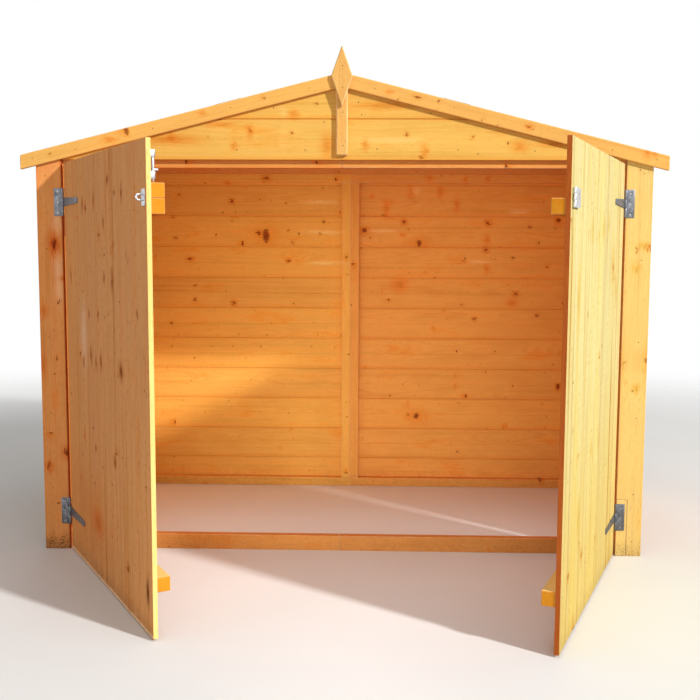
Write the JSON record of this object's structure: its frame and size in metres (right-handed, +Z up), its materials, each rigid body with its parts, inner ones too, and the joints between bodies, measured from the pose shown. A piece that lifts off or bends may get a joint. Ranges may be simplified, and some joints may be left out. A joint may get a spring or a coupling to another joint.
{
  "type": "bike shelter",
  "caption": "Low timber bike shelter with an apex roof, a pair of boarded ledged doors on T-hinges, a hasp and staple, and no floor.",
  "frame": {"origin": "on the ground, in the middle of the threshold rail's underside", "axes": "+X to the right seen from the front, +Y into the shelter, +Z up"},
  "size_m": [1.988, 1.7668, 1.576],
  "materials": {
    "cladding": "honey-stained softwood boards",
    "door_timber": "honey-stained softwood boards",
    "framing": "planed softwood battens",
    "trim": "planed softwood trim",
    "felt": "mineral roofing felt",
    "galvanised": "galvanised",
    "bright_zinc": "bright zinc plated"
  },
  "bodies": {
    "root": {"back_bargeboards": "trim", "back_cover_strip": "trim", "back_gable_rails": "framing", "finial": "trim", "front_cover_strip": "trim", "front_stiles": "framing", "hinge_plates": "galvanised", "left_back_boards": "cladding", "left_back_frame": "framing", "left_back_gable": "cladding", "left_front_bargeboard": "trim", "left_front_gable": "cladding", "left_front_post": "cladding", "left_header_rail": "framing", "left_roof_boards": "cladding", "left_side_boards": "cladding", "left_side_frame": "framing", "rafters": "framing", "ridge_battens": "framing", "right_back_boards": "cladding", "right_back_frame": "framing", "right_back_gable": "cladding", "right_front_bargeboard": "trim", "right_front_gable": "cladding", "right_front_post": "cladding", "right_header_rail": "framing", "right_post_block": "cladding", "right_roof_boards": "cladding", "right_side_boards": "cladding", "right_side_frame": "framing", "roof_felt": "felt", "threshold": "framing"},
    "left_door": {"bolt_barrel": "bright_zinc", "left_door_block": "door_timber", "left_door_boards": "door_timber", "left_door_brace": "door_timber", "left_door_ledges": "door_timber", "left_hinge_straps": "galvanised", "staple": "galvanised"},
    "right_door": {"hasp_leaf": "galvanised", "right_door_boards": "door_timber", "right_door_brace": "door_timber", "right_door_ledges": "door_timber", "right_hinge_straps": "galvanised"},
    "hasp_flap": {"hasp_flap": "galvanised"},
    "bolt_rod": {"bolt_rod": "bright_zinc"}
  },
  "joints": [
    {"name": "left_door_hinge", "type": "hinge", "parent": "root", "child": "left_door", "pos_m": [-0.867, -0.0365, 0.6], "axis": [0, 0, -1], "range_deg": [-60, 90]},
    {"name": "right_door_hinge", "type": "hinge", "parent": "root", "child": "right_door", "pos_m": [0.867, -0.0365, 0.6], "axis": [0, 0, 1], "range_deg": [-69, 81]},
    {"name": "hasp_hinge", "type": "hinge", "parent": "right_door", "child": "hasp_flap", "pos_m": [0.56475, -0.82667, 1.087], "axis": [0, 0, -1], "range_deg": [0, 180]},
    {"name": "bolt_slide", "type": "slide", "parent": "left_door", "child": "bolt_rod", "axis": [0, 0, 1], "range_m": [0, 0.022]}
  ]
}
